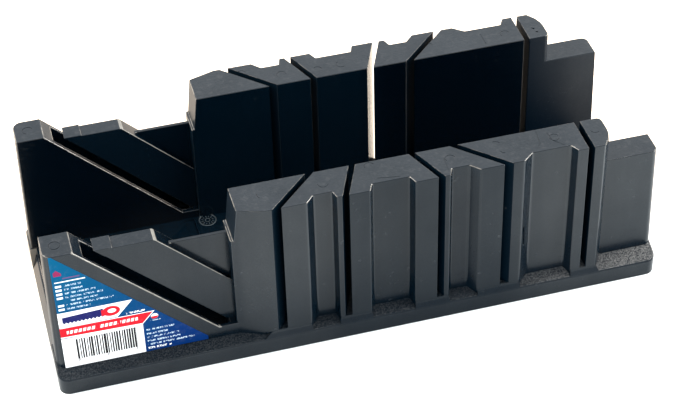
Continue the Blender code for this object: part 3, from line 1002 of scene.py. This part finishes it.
class Print(Graph):
    """Shapes printed in the x, z plane, as masks."""

    def band(self, value, low, high):
        return (value.ramp(low - SOFT, low + SOFT, smooth=False)
                * value.ramp(high + SOFT, high - SOFT, smooth=False))

    def rect(self, x0, x1, z0, z1):
        return self.band(self.x, x0, x1) * self.band(self.z, z0, z1)

    def line(self, x0, x1, z):
        return self.rect(x0, x1, z - LINE_HALF, z + LINE_HALF)

    def below(self, a, b, limit):
        """Where a * x + b * z is below the limit."""
        return (self.x * a + self.z * b).ramp(limit + SOFT, limit - SOFT, smooth=False)

    def ellipse(self, x, z, radius_x, radius_z):
        u = (self.x - x) / radius_x
        v = (self.z - z) / radius_z
        return (u * u + v * v).ramp(off=1.1, on=0.9, smooth=False)

    def hashed(self, cell, seed, row=1000.0):
        """A random number for each cell along x and each row in z."""
        corner = self.node("ShaderNodeCombineXYZ", {
            0: (self.x / cell).floor(), 1: (self.z / row).floor(), 2: seed})
        return self.node("ShaderNodeTexWhiteNoise", {0: corner}, noise_dimensions="3D")

    @cached_property
    def strokes(self):
        """Block-shaped strokes, parted into words, that stand for the printed lines."""
        blocks = self.hashed(cell=0.40, seed=3.0, row=0.55) > 0.42
        pitch, row, row_shift = 6.1, 2.4, 2.7
        words = (self.x + (self.z / row).floor() * row_shift) / pitch
        return blocks * (words.fraction() > 0.13)


def print_upper_lines(g, colour):
    colour = colour.paint(g.rect(5.6, 19.7, 65.35, 65.95), WHITE)
    corner = g.below(1.0, 1.0, 80.0) * (g.rect(5.6, 9.2, 69.4, 74.4) * g.below(-0.9, 1.0, 66.6))
    colour = colour.paint(corner, tone=(0.22, 0.02, 0.075))
    colour = colour.paint(g.rect(9.4, 17.4, 67.2, 68.0) * 0.45, tone=(0.22, 0.05, 0.12))
    for z, x0, x1, tag in UPPER_LINES:
        if tag:
            colour = colour.paint(g.rect(5.6, 8.4, z - 0.62, z + 0.62), tone=(0.75, 0.80, 0.84))
        colour = colour.paint(g.line(x0, x1, z) * g.strokes * 0.65, PALE)
    return colour


def print_saw(g, colour):
    """White band with a plain drawing of a hand saw."""
    colour = colour.paint(g.rect(4.0, 60.0, 37.6, 46.6) * g.below(1.0, -0.854, -0.30), WHITE)
    tooth_half, tooth_height = 0.9, 1.0
    tooth = g.math("PINGPONG", g.x, tooth_half) * tooth_height
    blade = (g.band(g.x, 6.4, 25.6) * g.below(-0.05, 1.0, 43.3)
             * (g.z - tooth).ramp(off=39.25, on=39.4, smooth=False) * g.below(-0.8, -1.0, -45.4))
    colour = colour.paint(blade, NAVY)
    grip = g.ellipse(29.2, 42.1, 4.3, 3.1) * ~g.ellipse(29.6, 42.2, 2.0, 1.25)
    colour = colour.paint(grip.max(g.rect(24.6, 27.6, 39.9, 43.6)), RED)
    return colour.paint(g.rect(36.0, 44.8, 38.0, 39.1) * g.strokes, WHITE)


def print_banner(g, colour):
    """Red banner between thin navy and white lines, with slanted letter blocks."""
    top = g.x.scaled(times=-0.0068, plus=37.03)
    bottom = g.x.scaled(times=-0.0259, plus=31.51)
    over = g.z - bottom
    under = top - g.z
    strength = 1.0
    for grow, tone in ((1.0, NAVY), (0.62, WHITE), (0.0, RED)):
        shape = (over.ramp(-grow - SOFT, SOFT - grow, smooth=False)
                 * under.ramp(-0.6 * grow - SOFT, SOFT - 0.6 * grow, smooth=False)
                 * g.below(1.0, -0.857, 16.95 + 0.8 * grow) * strength)
        colour = colour.paint(shape, tone)
    pitch, slant = 2.05, 0.25
    letters = ((g.x - g.z * slant) / pitch).fraction() > 0.30
    words = ~(g.band(g.x, 21.2, 23.0) + g.band(g.x, 31.6, 32.8))
    return colour.paint(g.rect(7.6, 41.0, 32.9, 34.9) * letters * words * 0.85, WHITE)


def print_bars(g, colour):
    """White panel with a bar pattern that codes nothing, its end bars longer."""
    colour = colour.paint(g.rect(4.0, 43.0, 11.0, 30.25), WHITE)
    pitch, end_pitch = 1.19, 0.602
    gap = g.hashed(cell=pitch, seed=5.0).scaled(times=0.50, plus=0.12)
    bars = (g.x / pitch).fraction() > gap
    left, middle, right = (g.rect(x0, x1, 14.5, 28.8)
                           for x0, x1 in ((11.0, 12.0), (24.9, 25.8), (38.7, 39.6)))
    end_bars = (g.x / end_pitch).fraction() > 0.48
    colour = colour.paint(g.rect(11.0, 39.6, 15.9, 28.8) * bars, BLACK)
    return colour.paint(left.max(middle).max(right) * end_bars, BLACK)


def print_lower_lines(g, colour):
    """Small round badge and the closing lines at the right, the last one bold."""
    colour = colour.paint(g.ellipse(*BADGE), WHITE)
    colour = colour.paint(g.ellipse(*BADGE) * g.z.ramp(off=33.6, on=33.4), RED)
    colour = colour.paint(g.rect(46.4, 51.6, 30.7, 31.2) * g.strokes * 0.7, PALE)
    for z, x1 in LOWER_LINES:
        colour = colour.paint(g.line(LOWER_X0, x1, z) * g.strokes * 0.7, PALE)
    return colour.paint(g.rect(LOWER_X0, 55.4, 13.0, 14.2) * g.strokes * 0.95, WHITE)


def label_material():
    material = bpy.data.materials.new("printed_film")
    g = Print(material)
    # ground: blue, deeper towards the lower right
    ground = (g.x * 0.75 + g.z * -1.0).ramp(off=-72.0, on=24.0, smooth=False)
    colour = g.mix(ground, off=(0.0, 0.076, 0.165), on=(0.001, 0.020, 0.108))
    for layer in (print_upper_lines, print_saw, print_banner, print_bars, print_lower_lines):
        colour = layer(g, colour)
    # print and handling: slight mottling
    mottle = g.noise(scale=420.0, detail=2.0, rough=0.6)
    colour = colour.paint(mottle.ramp(off=0.5, on=0.8) * 0.04, tone=(0.30, 0.36, 0.42))
    g.surface({"Base Color": colour, "Roughness": mottle.scaled(times=0.15, plus=0.34),
               "Specular IOR Level": 0.03,
               "Normal": g.bump(g.noise(scale=90.0), distance=0.0003, strength=0.12)})
    return material


film = label_film()
film.data.materials.clear()
film.data.materials.append(label_material())
for polygon in film.data.polygons:
    polygon.material_index = 0
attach(film, "root")
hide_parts("front_label")


# ------------------------------------------------------------------ stage, light, camera
def pale_floor():
    """Floor that turns from cool in front to warm behind."""
    bpy.ops.mesh.primitive_plane_add(size=8, location=(0, 0, 0))
    floor = bpy.context.object
    floor.name = "pale_floor"
    material = bpy.data.materials.new("pale_floor")
    g = Graph(material)
    depth = g.metres[1].scaled(times=1.0, plus=0.0)
    warm = depth.ramp(off=-0.06, on=0.04, smooth=False)
    g.surface({"Base Color": g.mix(warm, off=(0.88, 0.93, 0.95), on=(0.98, 0.85, 0.72)),
               "Roughness": 0.9, "Specular IOR Level": 0.1})
    floor.data.materials.append(material)
    return floor


pale_floor()

world = bpy.data.worlds.new("studio")
bpy.context.scene.world = world
world.use_nodes = True
background = world.node_tree.nodes["Background"]
background.inputs["Color"].default_value = (0.96, 1.0, 1.03, 1)
background.inputs["Strength"].default_value = 1.6

# metres
LIGHT_AIM = Vector((0, 0, 0.04))
LIGHT_DISTANCE = 1.3
LIGHT_SIZE = (0.8, 0.5)


def softbox(name, direction, radiance, colour):
    light = bpy.data.lights.new(name, "AREA")
    light.shape = "RECTANGLE"
    light.size, light.size_y = LIGHT_SIZE
    light.energy = radiance * math.pi * LIGHT_SIZE[0] * LIGHT_SIZE[1]
    light.color = colour
    obj = bpy.data.objects.new(name, light)
    bpy.context.scene.collection.objects.link(obj)
    obj.location = LIGHT_AIM + Vector(direction).normalized() * LIGHT_DISTANCE
    obj.rotation_euler = (LIGHT_AIM - obj.location).to_track_quat("-Z", "Y").to_euler()


softbox("softbox_right", direction=(0.9, -0.05, 0.40), radiance=30.0, colour=(1.0, 0.96, 0.90))
softbox("softbox_left", direction=(-0.84, 0.22, 0.46), radiance=26.0, colour=(1.0, 0.93, 0.84))

# camera: place in metres, and the directions it holds to its right and ahead
EYE = Vector((-0.171596, -0.691632, 0.645669))
RIGHT = Vector((0.964736, -0.262168, -0.023508)).normalized()
AHEAD = Vector((0.184135, 0.735996, -0.651463)).normalized()

cam_data = bpy.data.cameras.new("camera")
cam = bpy.data.objects.new("camera", cam_data)
scene = bpy.context.scene
scene.collection.objects.link(cam)
cam_up = RIGHT.cross(AHEAD).normalized()
turn = Matrix((RIGHT, cam_up, -AHEAD)).transposed()
cam.matrix_world = Matrix.Translation(EYE) @ turn.to_4x4()
cam_data.sensor_width = 36.0
cam_data.lens = 100.8202667
cam_data.clip_start = 0.01
cam_data.clip_end = 20
scene.camera = cam
scene.view_settings.view_transform = "Standard"
scene.view_settings.look = "None"
